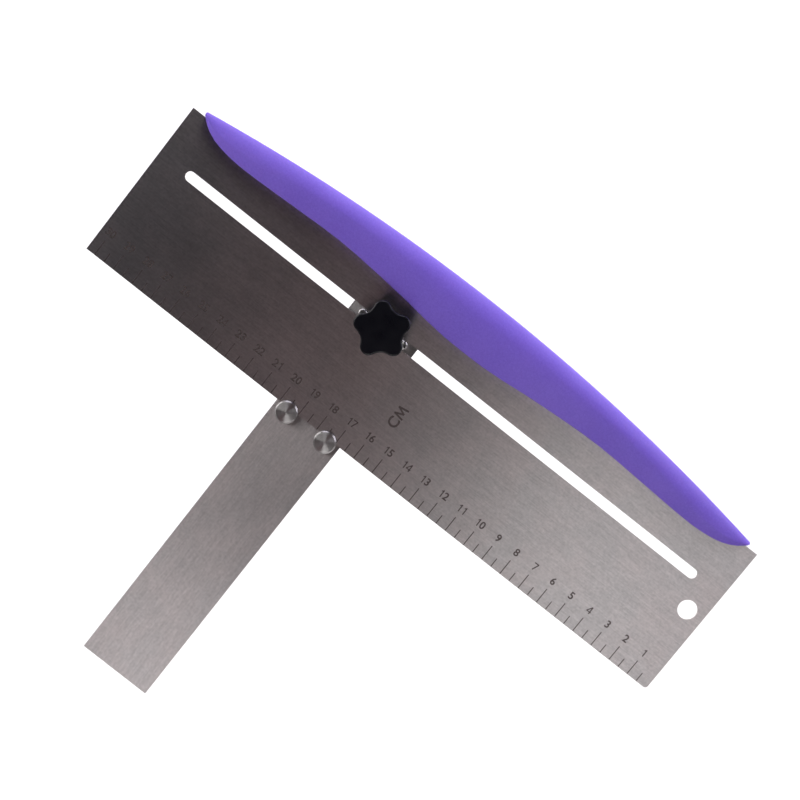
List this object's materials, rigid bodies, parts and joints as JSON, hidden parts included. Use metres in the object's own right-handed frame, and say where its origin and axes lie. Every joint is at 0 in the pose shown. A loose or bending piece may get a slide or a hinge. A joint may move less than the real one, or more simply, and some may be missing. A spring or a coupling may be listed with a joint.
{
  "type": "adjustable t square",
  "caption": "Graduated steel ruler plate with a plastic grip and a crosswise blade that slides along a slot and is clamped by a star knob.",
  "frame": {"origin": "middle of the object's outline in X and Y, on the plane that the back of the grip rests on", "axes": "+X along the ruler plate towards the zero end of its scale and the hanging hole, +Y across the plate towards the grip, +Z out of the graduated face"},
  "size_m": [0.3048, 0.2274, 0.0205],
  "materials": {
    "plate_steel": "brushed along its length, etched scale",
    "blade_steel": "brushed",
    "turned_steel": "turned, bright",
    "bolt_steel": "plain",
    "bush_brass": "turned",
    "grip_plastic": "fine moulded texture",
    "knob_plastic": "moulded, satin"
  },
  "bodies": {
    "ruler": {"ruler_plate": "plate_steel", "front_grip_shell": "grip_plastic", "rear_grip_shell": "grip_plastic", "grip_dowel_1": "bolt_steel", "grip_dowel_2": "bolt_steel", "grip_dowel_3": "bolt_steel", "grip_dowel_4": "bolt_steel"},
    "carriage": {"slide_blade": "blade_steel", "slot_pin_left": "turned_steel", "slot_pin_right": "turned_steel", "edge_guide_left": "turned_steel", "edge_guide_right": "turned_steel", "clamp_bolt": "bolt_steel"},
    "washer": {"clamp_washer": "bolt_steel"},
    "knob": {"star_knob": "knob_plastic", "threaded_bush": "bush_brass"}
  },
  "joints": [
    {"name": "blade_slide", "type": "slide", "parent": "ruler", "child": "carriage", "axis": [1, 0, 0], "range_m": [-0.0925, 0.1573]},
    {"name": "washer_lift", "type": "slide", "parent": "carriage", "child": "washer", "axis": [0, 0, 1], "range_m": [0, 0.00176]},
    {"name": "knob_turn", "type": "hinge", "parent": "washer", "child": "knob", "pos_m": [-0.0324, 0.0759, 0.0091], "axis": [0, 0, 1], "range_deg": [0, 900]}
  ],
  "couplings": [
    {"joint": "washer_lift", "follows": "knob_turn", "m_per_rad": 0.00011141}
  ]
}
